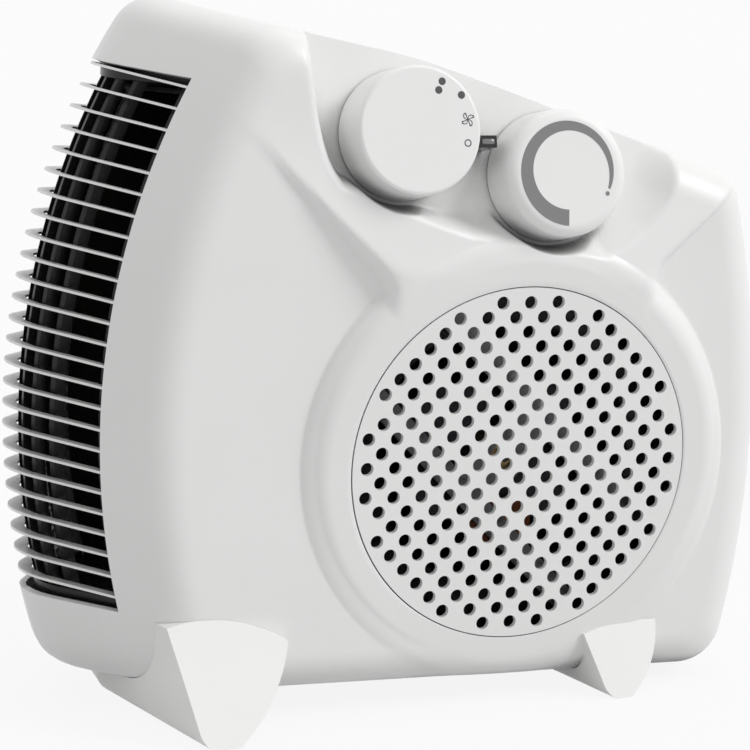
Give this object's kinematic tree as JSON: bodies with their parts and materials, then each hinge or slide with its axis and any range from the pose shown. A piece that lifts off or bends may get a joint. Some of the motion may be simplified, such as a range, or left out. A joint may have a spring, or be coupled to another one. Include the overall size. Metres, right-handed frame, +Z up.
{
  "type": "fan heater",
  "caption": "White upright electric fan heater with a round perforated intake, a bowed slatted outlet on one end, two knobs in a top recess and two sloping feet",
  "frame": {"origin": "on the floor under the middle of the overall box", "axes": "X to the right seen from the intake face, with the outlet end at -X; Y from the intake face to the back; Z up"},
  "size_m": [0.2516, 0.166, 0.2341],
  "materials": {
    "casing": "satin",
    "intake": "satin",
    "feet": "satin",
    "knobs": "satin",
    "guard": "gloss",
    "lens": "gloss",
    "lamp": "gloss",
    "wheel": "satin",
    "steel": "satin",
    "laminations": "satin",
    "winding": "satin",
    "bronze": "satin",
    "switchgear": "satin",
    "mica": "satin",
    "ribbon": "satin"
  },
  "bodies": {
    "heater": {"front_shell": "casing", "rear_shell": "casing", "outlet_grille": "casing", "intake_grille": "intake", "outlet_foot": "feet", "tail_foot": "feet", "outlet_guard": "guard", "heater_duct": "guard", "scroll_housing": "guard", "indicator_lens": "lens", "indicator_lamp": "lamp", "motor_bracket": "steel", "motor_screws": "steel", "case_screws": "steel", "foot_screws": "steel", "motor_core": "laminations", "motor_coil": "winding", "motor_bearings": "bronze", "mode_switch": "switchgear", "thermostat": "switchgear", "terminal_block": "switchgear", "cord_gland": "switchgear", "heater_frame": "mica", "heating_ribbons": "ribbon", "thermal_cutout": "ribbon", "thermal_fuse": "ribbon"},
    "fan": {"impeller": "wheel", "motor_rotor": "steel"},
    "mode_dial": {"mode_knob": "knobs", "mode_shaft": "steel"},
    "thermostat_dial": {"thermostat_knob": "knobs", "thermostat_shaft": "steel"}
  },
  "joints": [
    {"name": "fan_spin", "type": "hinge", "parent": "heater", "child": "fan", "pos_m": [0.03275, 0, 0.0814], "axis": [0, 1, 0], "continuous": true},
    {"name": "mode_knob_turn", "type": "hinge", "parent": "heater", "child": "mode_dial", "pos_m": [-0.00396, -0.04704, 0.1901], "axis": [-0.0083, 0.9781, -0.2077], "range_deg": [0, 90]},
    {"name": "thermostat_knob_turn", "type": "hinge", "parent": "heater", "child": "thermostat_dial", "pos_m": [0.04727, -0.04989, 0.17465], "axis": [-0.0083, 0.9781, -0.2077], "range_deg": [-185, 115]}
  ]
}
